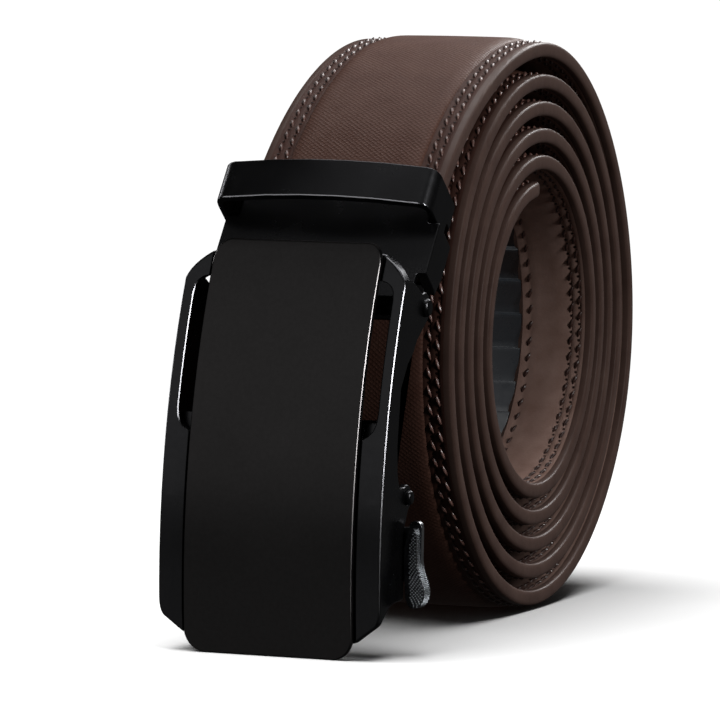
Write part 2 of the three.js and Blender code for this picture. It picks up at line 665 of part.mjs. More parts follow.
function clampGroup() {
  const group = new THREE.Group();
  group.position.set(0, hingeY, hingeHeight);
  group.rotation.x = -leanAngle;
  group.add(toMesh('clamp', clampSolid(), blackMetal));
  group.add(toMesh('clamp_flap', flapSolid(), steel));
  // The loop is loose on the strap and lies a little to one side
  const keeper = toMesh('keeper_loop', keeperSolid(), blackMetal);
  keeper.position.x = -KEEPER_DRIFT;
  group.add(keeper);
  return group;
}

function buckleGroup() {
  const group = new THREE.Group();
  group.position.set(0, hingeY, hingeHeight);
  const pinHalf = frameHalf + FIT_GAP;
  const hingePin = pinSolid(HINGE_PIN_RADIUS, pinHalf, HINGE_PIN_RADIUS * PIN_HEAD_SPREAD);
  group.add(toMesh('hinge_pin', hingePin, blackMetal));
  group.add(toMesh('buckle_frame', frameSolid(), blackMetal));
  group.add(toMesh('front_panel', panelSolid(), blackMetal));
  const lever = new THREE.Group();
  lever.position.set(0, leverPinY, leverPinZ);
  const leverPin = pinSolid(LEVER_PIN_RADIUS, pinHalf, LEVER_PIN_RADIUS * PIN_HEAD_SPREAD);
  lever.add(toMesh('lever_pin', leverPin, blackMetal));
  lever.add(toMesh('release_lever', leverSolid(), steel));
  group.add(lever);
  return group;
}

function beltGroup() {
  const belt = new THREE.Group();
  belt.add(toMesh('strap', strapSolid(), leather));
  belt.add(toMesh('ratchet_track', trackSolid(), nylon));
  belt.add(clampGroup());
  belt.add(buckleGroup());
  belt.updateMatrixWorld(true);
  const box = new THREE.Box3().setFromObject(belt, true);
  belt.position.set(-(box.min.x + box.max.x) / 2, -(box.min.y + box.max.y) / 2, -box.min.z);
  const placed = new THREE.Group();
  placed.add(belt);
  return placed;
}

export default beltGroup();
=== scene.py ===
import math

import bpy
from mathutils import Matrix, Vector


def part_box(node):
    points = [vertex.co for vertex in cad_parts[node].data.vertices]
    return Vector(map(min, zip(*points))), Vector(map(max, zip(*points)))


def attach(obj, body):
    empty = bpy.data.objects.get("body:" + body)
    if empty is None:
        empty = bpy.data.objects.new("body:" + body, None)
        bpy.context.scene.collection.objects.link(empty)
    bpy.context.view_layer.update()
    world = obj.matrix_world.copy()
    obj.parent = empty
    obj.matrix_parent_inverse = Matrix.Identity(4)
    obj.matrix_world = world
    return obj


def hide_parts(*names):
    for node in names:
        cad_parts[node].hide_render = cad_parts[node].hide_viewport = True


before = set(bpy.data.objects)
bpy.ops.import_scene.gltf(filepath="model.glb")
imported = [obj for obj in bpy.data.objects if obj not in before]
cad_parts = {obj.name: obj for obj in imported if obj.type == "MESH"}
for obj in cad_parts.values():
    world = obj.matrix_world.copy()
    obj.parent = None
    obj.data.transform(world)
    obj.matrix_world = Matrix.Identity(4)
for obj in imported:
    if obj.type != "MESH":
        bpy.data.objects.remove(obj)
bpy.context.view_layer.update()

# A ratchet belt wound in a coil on its edge, with its bowed buckle hanging in front.
# Sizes are in millimetres and become metres through MM.

MM = 0.001
FULL_TURN = 2 * math.pi

# Strap section, measured across from the middle of the strap and in depth from its outer face
STRAP_HALF = 17.5
STRAP_THICK = 2.7
PAD_HALF = 12.3
PAD_SHOULDER = 2.5
PAD_RISE = 0.68
PAD_CROWN = 0.12
ROW_OUTER = 15.0
ROW_INNER = 13.4
ROW_SINK = 0.2
EDGE_ROUND = 0.8
EDGE_SQUARE = 0.62
GROOVE_HALF = 3.8
GROOVE_DEPTH = 1.5
TRACK_ROW = 5.3

# Strap line, as the maker winds it
COIL_RADIUS = 52.0
COIL_PITCH = 4.88
COIL_TURNS = 5.045
TOP_LIFT = 0.9
LIFT_SPREAD = 0.9
BACK_SAG = 2.8
SAG_ANGLE = 1.72
SAG_SPREAD = 0.68
SAG_FADE = 0.28
FLOOR_TO_MARGIN = 0.808
HINGE_AHEAD = 16.6
CLAMP_LEAN = math.radians(38)
STRAP_IN_CLAMP = -1.3
CLAMP_START = 6.2
CLAMP_MOUTH = 15.8
BEND_BACK = 24.0
BEND_UP = 28.6
BEND_SLOPE = math.radians(38)
TIP_LENGTH = 12.0
TRACK_SETBACK = 32.0
TRACK_REACH = 362.0
SLICE = 2.0

# Stitching
STITCH_START = 15.5
STITCH_PITCH = 3.3
STITCH_HALF = 1.3
STITCH_RADIUS = 0.34
STITCH_SLANT = math.radians(-19)

# Hard pieces: vertices closer than this are one
WELD = 0.06

# Knurled thumb tab
KNURL_PITCH = 0.6
KNURL_RELIEF = 0.12
KNURL_DEEP = 2.9
TAB_ROUND = 0.8


def middle(node):
    lowest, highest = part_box(node)
    return (lowest + highest) / 2


hinge = middle("hinge_pin") / MM
belt_x = middle("strap").x / MM
coil_y = hinge.y + COIL_RADIUS + HINGE_AHEAD


# Modelling helpers

def deselect_all():
    if bpy.context.object and bpy.context.object.mode != "OBJECT":
        bpy.ops.object.mode_set(mode="OBJECT")
    bpy.ops.object.select_all(action="DESELECT")


def take(*pieces):
    deselect_all()
    for piece in pieces:
        piece.select_set(True)
    bpy.context.view_layer.objects.active = pieces[0]
    return pieces[0]


def named(name):
    piece = bpy.context.object
    piece.name = name
    piece.data.name = name
    return piece


def edit(piece, kind="VERT"):
    take(piece)
    bpy.ops.object.mode_set(mode="EDIT")
    bpy.ops.mesh.select_mode(type=kind)


def done():
    bpy.ops.object.mode_set(mode="OBJECT")


def pick(piece, kind, wanted):
    """Selects the vertices, edges or faces that wanted says yes to, and stays in edit mode."""
    edit(piece, kind)
    bpy.ops.mesh.select_all(action="DESELECT")
    done()
    parts = {"VERT": piece.data.vertices, "EDGE": piece.data.edges, "FACE": piece.data.polygons}[kind]
    for part in parts:
        part.select = wanted(part)
    bpy.ops.object.mode_set(mode="EDIT")


def apply_modifier(piece, kind, **settings):
    take(piece)
    modifier = piece.modifiers.new(kind.title(), kind)
    for setting, value in settings.items():
        setattr(modifier, setting, value)
    bpy.ops.object.modifier_apply(modifier=modifier.name)


def settle(piece):
    take(piece)
    bpy.ops.object.transform_apply(location=True, rotation=True, scale=True)


def join(name, pieces):
    take(*pieces)
    bpy.ops.object.join()
    return named(name)


def copy_piece(piece, name):
    take(piece)
    bpy.ops.object.duplicate()
    return named(name)


def finish_piece(piece, body, material=None, nodes=()):
    if material:
        piece.data.materials.clear()
        piece.data.materials.append(material)
    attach(piece, body)
    if nodes:
        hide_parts(*nodes)
    return piece


# Materials

def material(name, color, roughness, metallic=0.0, **sockets):
    made = bpy.data.materials.new(name)
    made.use_nodes = True
    shader = made.node_tree.nodes["Principled BSDF"]
    shader.inputs["Base Color"].default_value = (*color, 1)
    shader.inputs["Roughness"].default_value = roughness
    shader.inputs["Metallic"].default_value = metallic
    for socket, value in sockets.items():
        shader.inputs[socket.replace("_", " ")].default_value = value
    return made


class Nodes:
    """Short words for the nodes of one material."""

    def __init__(self, owner):
        self.tree = owner.node_tree
        self.shader = self.tree.nodes["Principled BSDF"]

    def add(self, kind, settings=None, **inputs):
        node = self.tree.nodes.new(kind)
        for setting, value in (settings or {}).items():
            setattr(node, setting, value)
        for name, value in inputs.items():
            self.put(node.inputs[name.replace("_", " ")], value)
        return node

    def put(self, socket, value):
        if isinstance(value, bpy.types.NodeSocket):
            self.tree.links.new(value, socket)
        else:
            socket.default_value = value

    def math(self, operation, first, second=0.0, third=0.0):
        node = self.add("ShaderNodeMath", {"operation": operation})
        for socket, value in zip(node.inputs, (first, second, third)):
            self.put(socket, value)
        return node.outputs[0]

    def place(self, scale=1.0, source="Object"):
        if source == "Object":
            start = self.add("ShaderNodeTexCoord").outputs["Object"]
        else:
            start = self.add("ShaderNodeUVMap", {"uv_map": source}).outputs["UV"]
        sized = self.add("ShaderNodeVectorMath", {"operation": "SCALE"}, Vector=start)
        sized.inputs["Scale"].default_value = scale
        return sized.outputs[0]

    def noise(self, scale, source="Object", detail=3.0, roughness=0.55):
        return self.add(
            "ShaderNodeTexNoise", Vector=self.place(1.0, source), Scale=scale,
            Detail=detail, Roughness=roughness).outputs["Fac"]

    def spread(self, value, low, high, low_to=0.0, high_to=1.0):
        node = self.add("ShaderNodeMapRange", Value=value)
        for name, number in (("From Min", low), ("From Max", high), ("To Min", low_to), ("To Max", high_to)):
            node.inputs[name].default_value = number
        return node.outputs[0]

    def blend(self, factor, first, second):
        node = self.add("ShaderNodeMix", {"data_type": "RGBA"})
        self.put(node.inputs[0], factor)
        self.put(node.inputs[6], first if not isinstance(first, tuple) else (*first, 1))
        self.put(node.inputs[7], second if not isinstance(second, tuple) else (*second, 1))
        return node.outputs[2]

    def bump(self, height, distance, strength=1.0, under=None):
        node = self.add("ShaderNodeBump", Height=height, Strength=strength, Distance=distance)
        if under:
            self.put(node.inputs["Normal"], under)
        return node.outputs["Normal"]

    def color(self, value):
        self.put(self.shader.inputs["Base Color"], value)

    def rough(self, value):
        self.put(self.shader.inputs["Roughness"], value)

    def normal(self, value):
        self.put(self.shader.inputs["Normal"], value)


STRAP_UV = "along_strap"
WEAVE_ALONG = 0.85
WEAVE_ACROSS = 1.05


def padded_leather():
    """Leather pressed with a fine weave of diamonds, with painted shade darkening the grooves between the
    ridges.
    """
    made = material("padded_leather", (0.06, 0.028, 0.02), 0.5, Specular_IOR_Level=0.04)
    n = Nodes(made)
    split = n.add("ShaderNodeSeparateXYZ", Vector=n.place(1.0, STRAP_UV))
    drift = n.spread(n.noise(900.0, STRAP_UV, 2.0), 0.3, 0.7, -0.00008, 0.00008)
    along = n.math("MULTIPLY", n.math("ADD", split.outputs[0], drift), math.pi / (WEAVE_ALONG * MM))
    across = n.math("MULTIPLY", split.outputs[1], math.pi / (WEAVE_ACROSS * MM))
    rise = n.math("ABSOLUTE", n.math("SINE", n.math("ADD", along, across)))
    fall = n.math("ABSOLUTE", n.math("SINE", n.math("SUBTRACT", along, across)))
    cells = n.math("POWER", n.math("MULTIPLY", rise, fall), 0.7)
    weave = n.math("MULTIPLY_ADD", n.noise(1900.0, STRAP_UV, 2.0), 0.9, n.math("MULTIPLY", cells, 0.55))
    wear = n.spread(n.noise(160.0, STRAP_UV, 4.0), 0.35, 0.7)
    dark = n.blend(wear, (0.037, 0.016, 0.011), (0.048, 0.023, 0.017))
    light = n.blend(wear, (0.064, 0.029, 0.021), (0.078, 0.039, 0.029))
    # The weave's grooves take the dark tone and its ridges the light tone: painted shade in the grooves.
    n.color(n.blend(weave, dark, light))
    n.rough(n.spread(weave, 0.0, 1.0, 0.6, 0.46))
    n.normal(n.bump(weave, 0.12 * MM, 0.6))
    return made


def needle_holes(n):
    """1 in the needle holes between the stitches of the margins, 0 elsewhere."""
    split = n.add("ShaderNodeSeparateXYZ", Vector=n.place(1 / MM, STRAP_UV))
    aside = n.math("ABSOLUTE", split.outputs[1])
    found = 0.0
    for row, shift in ((ROW_INNER, 0.0), (ROW_OUTER, 0.5)):
        turns = n.math("MULTIPLY_ADD", split.outputs[0], 1 / STITCH_PITCH, -STITCH_START / STITCH_PITCH - shift)
        ahead = n.math("MULTIPLY", n.math("SUBTRACT", n.math("FRACT", turns), 0.5), STITCH_PITCH)
        over = n.math("SUBTRACT", aside, row)
        away = n.math("SQRT", n.math("MULTIPLY_ADD", ahead, ahead, n.math("MULTIPLY", over, over)))
        found = n.math("MAXIMUM", n.spread(away, 0.15, 0.36, 1.0, 0.0), found)
    return found


def smooth_leather(name, dark, light, roughness, grain=0.03):
    made = material(name, light, roughness, Specular_IOR_Level=0.04)
    n = Nodes(made)
    tone = n.spread(n.noise(220.0, STRAP_UV, 4.0), 0.3, 0.75)
    holes = needle_holes(n)
    # The needle holes are painted near-black: painted shade inside the holes.
    n.color(n.blend(holes, n.blend(tone, dark, light), (0.012, 0.006, 0.005)))
    n.rough(n.spread(n.noise(2600.0, STRAP_UV, 2.0), 0.3, 0.7, roughness - 0.05, roughness + 0.08))
    pores = n.add("ShaderNodeTexVoronoi", Vector=n.place(1.0, STRAP_UV), Scale=2400.0).outputs["Distance"]
    fine = n.bump(pores, grain * MM, 0.6)
    n.normal(n.bump(n.math("SUBTRACT", 1.0, holes), 0.2 * MM, 0.6, fine))
    return made


def edge_paint():
    """Several coats of satin edge paint, slightly uneven along the strap."""
    made = material("edge_paint", (0.06, 0.035, 0.029), 0.45, Specular_IOR_Level=0.05)
    n = Nodes(made)
    tone = n.spread(n.noise(120.0, STRAP_UV, 3.0), 0.3, 0.75)
    n.color(n.blend(tone, (0.048, 0.028, 0.023), (0.070, 0.043, 0.035)))
    n.rough(n.spread(n.noise(500.0, STRAP_UV, 3.0), 0.3, 0.7, 0.33, 0.46))
    n.normal(n.bump(n.noise(420.0, STRAP_UV, 3.0), 0.08 * MM, 0.5))
    return made


def thread():
    made = material("stitching_thread", (0.03, 0.015, 0.012), 0.36, Specular_IOR_Level=0.25)
    n = Nodes(made)
    n.color(n.blend(n.spread(n.noise(700.0), 0.3, 0.7), (0.024, 0.011, 0.009), (0.048, 0.025, 0.020)))
    plies = n.add("ShaderNodeTexWave", Vector=n.place(), Scale=1100.0, Distortion=1.0).outputs["Fac"]
    n.normal(n.bump(plies, 0.06 * MM, 0.4))
    return made


def black_plate(name, color, roughness):
    """Satin black plated metal with a fine film of handling marks."""
    made = material(name, color, roughness, 1.0, Specular_Tint=(0.5, 0.5, 0.5, 1))
    n = Nodes(made)
    film = n.noise(90.0, detail=5.0, roughness=0.65)
    n.rough(n.spread(film, 0.3, 0.7, roughness - 0.03, roughness + 0.05))
    tone = n.spread(n.noise(1400.0, detail=2.0), 0.3, 0.7)
    n.color(n.blend(tone, tuple(part * 0.95 for part in color), tuple(part * 1.05 for part in color)))
    n.normal(n.bump(n.noise(2600.0, detail=2.0), 0.004 * MM, 0.5))
    return made


def moulded_nylon():
    made = material("moulded_nylon", (0.013, 0.015, 0.018), 0.3)
    n = Nodes(made)
    n.rough(n.spread(n.noise(400.0, detail=4.0), 0.3, 0.7, 0.24, 0.38))
    n.normal(n.bump(n.noise(900.0, detail=2.0), 0.02 * MM, 0.4))
    return made


def dark_steel(name, color, roughness):
    made = material(name, color, roughness, 1.0)
    n = Nodes(made)
    n.rough(n.spread(n.noise(300.0, detail=4.0), 0.3, 0.7, roughness - 0.05, roughness + 0.08))
    n.color(n.blend(
        n.spread(n.noise(1500.0, detail=2.0), 0.3, 0.7),
        tuple(part * 0.75 for part in color), tuple(part * 1.2 for part in color)))
    return made


grain_leather = padded_leather()
margin_leather = smooth_leather("margin_leather", (0.038, 0.017, 0.013), (0.054, 0.026, 0.020), 0.52)
# The lining is given a far lighter tone than the outer leather: painted light, standing in for the light that
# falls into the coil's eye.
lining_leather = smooth_leather("lining_leather", (0.170, 0.105, 0.085), (0.240, 0.160, 0.135), 0.42, 0.02)
painted_edge = edge_paint()
brown_thread = thread()
black_metal = black_plate("satin_black_plate", (0.037, 0.037, 0.039), 0.24)
panel_metal = black_plate("smooth_black_panel", (0.040, 0.038, 0.038), 0.3)
nylon = moulded_nylon()
pin_steel = dark_steel("pin_steel", (0.10, 0.10, 0.105), 0.3)
tab_steel = dark_steel("tab_steel", (0.085, 0.088, 0.095), 0.25)
knurl_steel = dark_steel("knurl_steel", (0.26, 0.28, 0.30), 0.3)


# Strap line: a flat strap lies along its own X, and this route winds it up

def coil_radius(angle):
    wrap = max(0, math.floor(angle / FULL_TURN))
    lift = TOP_LIFT * math.exp(-((angle / LIFT_SPREAD) ** 2))
    past = (angle - wrap * FULL_TURN - SAG_ANGLE) / SAG_SPREAD
    sag = BACK_SAG * SAG_FADE ** wrap * math.exp(-(past ** 2))
    return COIL_RADIUS - COIL_PITCH * angle / FULL_TURN + lift + sag


coil_z = FLOOR_TO_MARGIN + coil_radius(math.pi)


def coil_point(angle):
    radius = coil_radius(angle)
    return (coil_y + radius * math.sin(angle), coil_z + radius * math.cos(angle))


def from_clamp(ahead, up):
    return (
        hinge.y + ahead * math.cos(CLAMP_LEAN) + up * math.sin(CLAMP_LEAN),
        hinge.z - ahead * math.sin(CLAMP_LEAN) + up * math.cos(CLAMP_LEAN))


def curve_between(start, start_way, end, end_way, steps):
    third = math.dist(start, end) / 3
    first = [start[i] + start_way[i] * third for i in (0, 1)]
    second = [end[i] - end_way[i] * third for i in (0, 1)]
    points = []
    for step in range(1, steps + 1):
        t = step / steps
        s = 1 - t
        points.append(tuple(
            s ** 3 * start[i] + 3 * s * s * t * first[i] + 3 * s * t * t * second[i] + t ** 3 * end[i]
            for i in (0, 1)))
    return points


def strap_route():
    """The outer face of the strap's margins, seen from +X, as a curve on which a flat strap is bent."""
    start = from_clamp(STRAP_IN_CLAMP, CLAMP_START)
    mouth = from_clamp(STRAP_IN_CLAMP, CLAMP_MOUTH)
    bend = (hinge.y + BEND_BACK, hinge.z + BEND_UP)
    along_clamp = (math.sin(CLAMP_LEAN), math.cos(CLAMP_LEAN))
    along_bend = (math.cos(BEND_SLOPE), math.sin(BEND_SLOPE))
    points = [start, mouth]
    points += curve_between(mouth, along_clamp, bend, along_bend, 60)
    points += curve_between(bend, along_bend, coil_point(0), (1, 0), 60)
    spiral = 2600
    points += [coil_point(COIL_TURNS * FULL_TURN * i / spiral) for i in range(1, spiral + 1)]
    data = bpy.data.curves.new("strap_route", "CURVE")
    data.dimensions = "2D"
    data.use_path = True
    data.use_deform_bounds = False
    line = data.splines.new("POLY")
    line.points.add(len(points) - 1)
    for point, (y, z) in zip(line.points, points):
        point.co = (y * MM, z * MM, 0, 1)
    route = bpy.data.objects.new("strap_route", data)
    bpy.context.collection.objects.link(route)
    length = sum(math.dist(a, b) for a, b in zip(points, points[1:]))
    return route, length


route, strap_length = strap_route()
tip_start = strap_length - TIP_LENGTH
groove_end = strap_length - TRACK_SETBACK
groove_start = groove_end - TRACK_REACH


def wind(piece):
    """Bends a flat piece along the route and stands the coil on its edge."""
    apply_modifier(piece, "CURVE", object=route, deform_axis="POS_X")
    piece.matrix_world = Matrix((
        (0, 0, 1, belt_x * MM), (1, 0, 0, 0), (0, 1, 0, 0), (0, 0, 0, 1)))
    settle(piece)


def tip_share(along):
    """How much of its width the strap keeps near the rounded tip."""
    over = max(0.0, along - tip_start) / TIP_LENGTH
    return math.sqrt(max(0.0, 1 - over * over))


def pad_height(across):
    reach = abs(across)
    if reach >= PAD_HALF:
        return 0.0
    shoulder = min(1.0, (PAD_HALF - reach) / PAD_SHOULDER)
    return PAD_RISE * math.sqrt(1 - (1 - shoulder) ** 2) + PAD_CROWN * (1 - (reach / PAD_HALF) ** 2)


def row_sink(across, rows):
    return sum(ROW_SINK * math.exp(-((abs(across) - row) / 0.3) ** 2) for row in rows)


def strap_profile():
    """(across, height, finish) round the section, starting at the middle of the outer face."""
    outer = [0, 3, 6, 8.2, 9.5, 10.3, 11, 11.5, 11.9, 12.15, 12.3, 12.5, 12.9, 13.2, 13.5, 13.8,
             14.45, 15.1, 15.4, 15.7, 16.1]
    inner = [16.1, 15.7, 15.4, 15.1, 14.45, 13.8, 13.5, 13.2, 12.8, 10, 7, 5.65, 5.3, 4.95,
             GROOVE_HALF + 0.02, GROOVE_HALF, 2, 0]
    half = []
    for across in outer:
        finish = 0 if across < PAD_HALF + 0.1 else 1
        half.append((across, pad_height(across) - row_sink(across, (ROW_INNER, ROW_OUTER)), finish))
    arc = 6
    for step in range(1, 2 * arc):
        turn = math.pi * step / (2 * arc)
        bulge = STRAP_THICK / 2
        across = STRAP_HALF - EDGE_ROUND + EDGE_ROUND * math.sin(turn) ** EDGE_SQUARE
        level = math.copysign(abs(math.cos(turn)) ** EDGE_SQUARE, math.cos(turn))
        half.append((across, bulge * (level - 1), 2))
    for across in inner:
        sink = row_sink(across, (ROW_INNER, ROW_OUTER)) + 0.5 * row_sink(across, (TRACK_ROW,))
        half.append((across, -STRAP_THICK + sink, 3))
    mirrored = [(-across, height, finish) for across, height, finish in half[-2:0:-1]]
    return half + mirrored


def strap_stations():
    """Where the slices of the flat strap end: even, but closer at the groove's ends and at the tip."""
    count = round(tip_start / SLICE)
    stations = [tip_start * i / count for i in range(count + 1)]
    for edge_at in (groove_start, groove_end):
        near = round(edge_at / tip_start * count)
        stations[near] = edge_at - 0.02
        stations[near + 1] = edge_at + 0.02
    tip_steps = 14
    stations += [tip_start + TIP_LENGTH * math.sin(math.pi / 2 * i / tip_steps) * 0.9995
                 for i in range(1, tip_steps + 1)]
    return stations


def make_strap():
    profile = strap_profile()
    stations = strap_stations()
    deselect_all()
    bpy.ops.mesh.primitive_circle_add(vertices=len(profile), radius=MM, rotation=(0, math.pi / 2, 0))
    strap = named("strap_leather")
    settle(strap)
    for vertex, (across, height, _) in zip(strap.data.vertices, profile):
        vertex.co = (0, height * MM, across * MM)
    edit(strap)
    bpy.ops.mesh.select_all(action="SELECT")
    bpy.ops.mesh.extrude_region_move(TRANSFORM_OT_translate={"value": (SLICE * MM, 0, 0)})
    done()
    apply_modifier(
        strap, "ARRAY", count=len(stations) - 1, use_relative_offset=False, use_constant_offset=True,
        constant_offset_displace=(SLICE * MM, 0, 0), use_merge_vertices=True, merge_threshold=0.01 * MM)
    finishes = {}
    for across, height, finish in profile:
        finishes[(round(across, 3), round(height, 3))] = finish
    flat = {}
    for vertex in strap.data.vertices:
        flat[vertex.index] = (round(vertex.co.x / (SLICE * MM)), vertex.co.y / MM, vertex.co.z / MM)
    mesh = strap.data
    for finish in (grain_leather, margin_leather, painted_edge, lining_leather):
        mesh.materials.append(finish)
    along_strap = mesh.uv_layers.new(name=STRAP_UV)
    for face in mesh.polygons:
        corners = [flat[i] for i in face.vertices]
        kinds = [finishes[(round(z, 3), round(y, 3))] for _, y, z in corners]
        face.material_index = max(kinds) if 2 not in kinds else 2
        if set(kinds) == {0, 1}:
            face.material_index = 1
        for loop in face.loop_indices:
            station, height, across = flat[mesh.loops[loop].vertex_index]
            side = across + (height if abs(across) > STRAP_HALF - EDGE_ROUND else 0)
            along_strap.data[loop].uv = (stations[station] * MM, side * MM)
    for vertex in mesh.vertices:
        station, height, across = flat[vertex.index]
        along = stations[station]
        pressed = min(1.0, max(0.0, (along - 14.5) / 4))
        if height > 0:
            height *= pressed
        grooved = groove_start < along < groove_end and abs(across) <= GROOVE_HALF
        if grooved and height < -STRAP_THICK / 2:
            height = -STRAP_THICK + GROOVE_DEPTH
        share = tip_share(along)
        thin = min(1.0, share + 0.35)
        middle_height = -STRAP_THICK / 2
        vertex.co = (
            along * MM, (middle_height + (height - middle_height) * thin) * MM, across * share * MM)
    ends = (0.0, strap_length)
    pick(strap, "VERT", lambda v: min(abs(v.co.x / MM - end) for end in ends) < 0.02)
    bpy.ops.mesh.edge_face_add()
    done()
    wind(strap)
    take(strap)
    bpy.ops.object.shade_smooth_by_angle(angle=math.radians(35))
    return strap


def make_stitch():
    """One stitch that dives into the leather at both ends, lying slightly across its row."""
    deselect_all()
    bpy.ops.mesh.primitive_uv_sphere_add(segments=6, ring_count=6, radius=1, rotation=(0, math.pi / 2, 0))
    stitch = named("stitch")
    settle(stitch)
    for vertex in stitch.data.vertices:
        x, y, z = vertex.co
        thick = STITCH_RADIUS * (1.0 + 0.12 * math.cos(6 * x))
        vertex.co = (x * STITCH_HALF, y * thick - 0.32 * x * x, z * thick)
    edit(stitch)
    bpy.ops.mesh.select_all(action="SELECT")
    bpy.ops.transform.rotate(value=STITCH_SLANT, orient_axis="Y", center_override=(0, 0, 0))
    done()
    for vertex in stitch.data.vertices:
        vertex.co *= MM
    take(stitch)
    bpy.ops.object.shade_smooth()
    return stitch


def stitch_row(stitch, name, across, height, start, end, facing):
    row = copy_piece(stitch, name)
    count = int((end - start) / STITCH_PITCH)
    for vertex in row.data.vertices:
        vertex.co.y *= facing
        vertex.co.x += start * MM
    if facing < 0:
        edit(row)
        bpy.ops.mesh.select_all(action="SELECT")
        bpy.ops.mesh.flip_normals()
        done()
    apply_modifier(
        row, "ARRAY", count=count, use_relative_offset=False, use_constant_offset=True,
        constant_offset_displace=(STITCH_PITCH * MM, 0, 0))
    for vertex in row.data.vertices:
        vertex.co.y += height * MM
        vertex.co.z = (vertex.co.z + across * MM) * tip_share(vertex.co.x / MM)
    return row


def make_stitching():
    stitch = make_stitch()
    pieces = []
    end = strap_length - 3.5
    sets = (
        ("outer_stitching", 0.0, 1, STITCH_START, end, (ROW_INNER, ROW_OUTER)),
        ("lining_stitching", -STRAP_THICK, -1, STITCH_START, end, (ROW_INNER, ROW_OUTER)),
        ("track_stitching", -STRAP_THICK - 0.0, -1, groove_start - 6, groove_end + 8, (TRACK_ROW,)),
    )
    for name, height, facing, start, end, places in sets:
        rows = []
        for place in places:
            for side in (-1, 1):
                shift = 0.5 * STITCH_PITCH if place == ROW_OUTER else 0.0
                rows.append(stitch_row(
                    stitch, "row", side * place, height, start + shift, end, facing))
        piece = join(name, rows)
        wind(piece)
        pieces.append(finish_piece(piece, "strap_body", brown_thread))
    bpy.data.objects.remove(stitch)
    return pieces


# Hard pieces

def from_node(node, name, bevel, segments=2, angle=24, smooth=24):
    """A copy of a solid with its edges rounded as the real piece's are."""
    take(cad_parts[node])
    bpy.ops.object.duplicate()
    piece = named(name)
    piece.parent = None
    for key in list(piece.keys()):
        del piece[key]
    piece.matrix_world = Matrix.Identity(4)
    edit(piece)
    bpy.ops.mesh.select_all(action="SELECT")
    bpy.ops.mesh.remove_doubles(threshold=WELD * MM)
    bpy.ops.mesh.customdata_custom_splitnormals_clear()
    bpy.ops.mesh.dissolve_degenerate(threshold=WELD * MM)
    bpy.ops.mesh.dissolve_limited(angle_limit=math.radians(0.3))
    done()
    apply_modifier(
        piece, "BEVEL", width=bevel * MM, segments=segments, limit_method="ANGLE",
        angle_limit=math.radians(angle), use_clamp_overlap=False, miter_outer="MITER_ARC")
    take(piece)
    bpy.ops.object.shade_smooth_by_angle(angle=math.radians(smooth))
    apply_modifier(piece, "WEIGHTED_NORMAL", keep_sharp=True, weight=60)
    return piece


def on_tab_front(point, front):
    """Whether a point lies on the flat front of the thumb tab, outside the right wall."""
    return point.y < front + 0.02 * MM and point.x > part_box("buckle_frame")[1].x


def tab_front_level(lever):
    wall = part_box("buckle_frame")[1].x
    return min(v.co.y for v in lever.data.vertices if v.co.x > wall)


def round_tab(lever):
    """Rounds the tab's front, widely on its inner flank and a little on the outer one."""
    front = tab_front_level(lever)
    for outer, offset, segments in ((False, TAB_ROUND, 5), (True, 0.22, 2)):
        spots = lever.data.vertices
        rim = {}
        flanks = {}
        for face in lever.data.polygons:
            if abs(face.normal.y) < 0.2:
                for key in face.edge_keys:
                    flanks[key] = face.normal.x
            elif face.normal.y < -0.9:
                for key in face.edge_keys:
                    rim[key] = True
        wanted = {
            key for key in rim if key in flanks and (flanks[key] > 0.35) == outer
            and all(on_tab_front(spots[i].co, front) for i in key)}
        pick(lever, "EDGE", lambda e: tuple(sorted(e.vertices)) in wanted)
        bpy.ops.mesh.bevel(offset=offset * MM, segments=segments, clamp_overlap=True)
        done()
    take(lever)
    bpy.ops.object.shade_smooth_by_angle(angle=math.radians(40))
    return lever


def crossings(outline, z):
    """Where a level line crosses an outline given as a list of (x, z)."""
    found = []
    for (ax, az), (bx, bz) in zip(outline, outline[1:] + outline[:1]):
        if (az > z) != (bz > z):
            found.append(ax + (bx - ax) * (z - az) / (bz - az))
    return sorted(found)


def knurl_spots(outline, front, back):
    """Places and directions of the pyramids: on the front beside the smooth flank, and on the outer side."""
    pitch = KNURL_PITCH * MM
    lowest = min(z for _, z in outline)
    highest = max(z for _, z in outline)
    spots = []
    for row in range(1, math.ceil((highest - lowest) / pitch) * 2):
        z = lowest + row * pitch * 0.5
        ends = crossings(outline, z)
        if len(ends) < 2:
            continue
        start, end = ends[0] + TAB_ROUND * MM, ends[-1]
        column = end - pitch * (0.5 if row % 2 else 1.0)
        while column > start:
            spots.append((Vector((column, front, z)), Vector((1, 0, 0)), Vector((0, 0, 1)), Vector((0, -1, 0))))
            column -= pitch
        above, below = crossings(outline, z + pitch * 0.3), crossings(outline, z - pitch * 0.3)
        if not above or not below:
            continue
        rise = Vector((above[-1] - below[-1], 0, pitch * 0.6)).normalized()
        out = Vector((rise.z, 0, -rise.x))
        deep = front + pitch * (0.5 if row % 2 else 1.0)
        while deep < back - pitch * 0.3:
            spots.append((Vector((end, deep, z)), Vector((0, 1, 0)), rise, out))
            deep += pitch
    return spots


